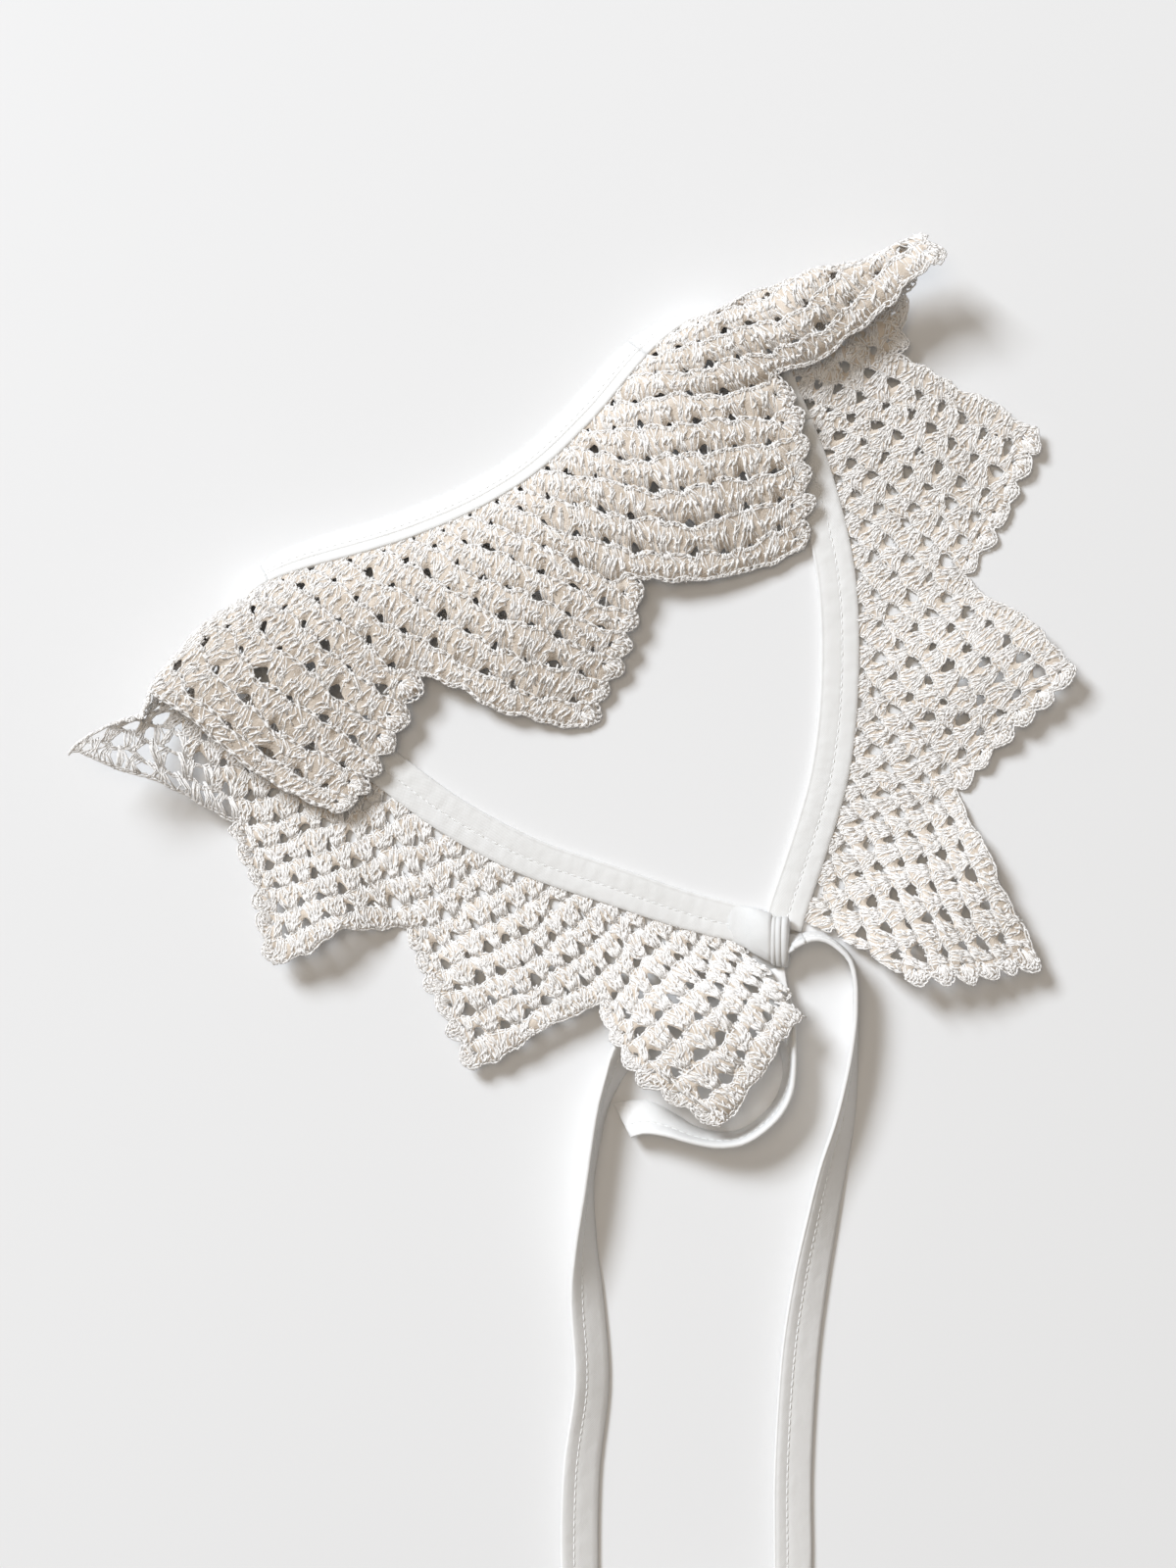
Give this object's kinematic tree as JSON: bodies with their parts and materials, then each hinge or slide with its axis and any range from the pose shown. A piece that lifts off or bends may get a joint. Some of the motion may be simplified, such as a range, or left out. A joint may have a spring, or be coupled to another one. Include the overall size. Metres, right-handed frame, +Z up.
{
  "type": "lace collar",
  "caption": "Pointed crochet lace collar on a narrow folded tape, knotted at the front with long ties, lying half folded on a table.",
  "frame": {"origin": "under the middle of the collar without its ties, on the surface that it lies on", "axes": "+Z up from the surface, +Y away from the tied front towards the folded back, +X to the right as seen from above"},
  "size_m": [0.2528, 0.3723, 0.0218],
  "materials": {
    "lace": "ivory crochet cotton",
    "tape": "white folded cotton tape, topstitched"
  },
  "bodies": {
    "root": {"lace_point_01": "lace", "lace_point_02": "lace", "lace_point_03": "lace", "lace_point_04": "lace", "lace_point_05": "lace", "lace_point_06": "lace", "lace_point_07": "lace", "lace_point_08": "lace", "lace_point_09": "lace", "lace_point_10": "lace", "lace_point_11": "lace", "neck_tape_front_left": "tape", "neck_tape_left_turn": "tape", "neck_tape_back": "tape", "neck_tape_right_turn": "tape", "neck_tape_front_right": "tape", "knot": "tape", "tie_right": "tape", "tie_left": "tape"}
  },
  "joints": []
}
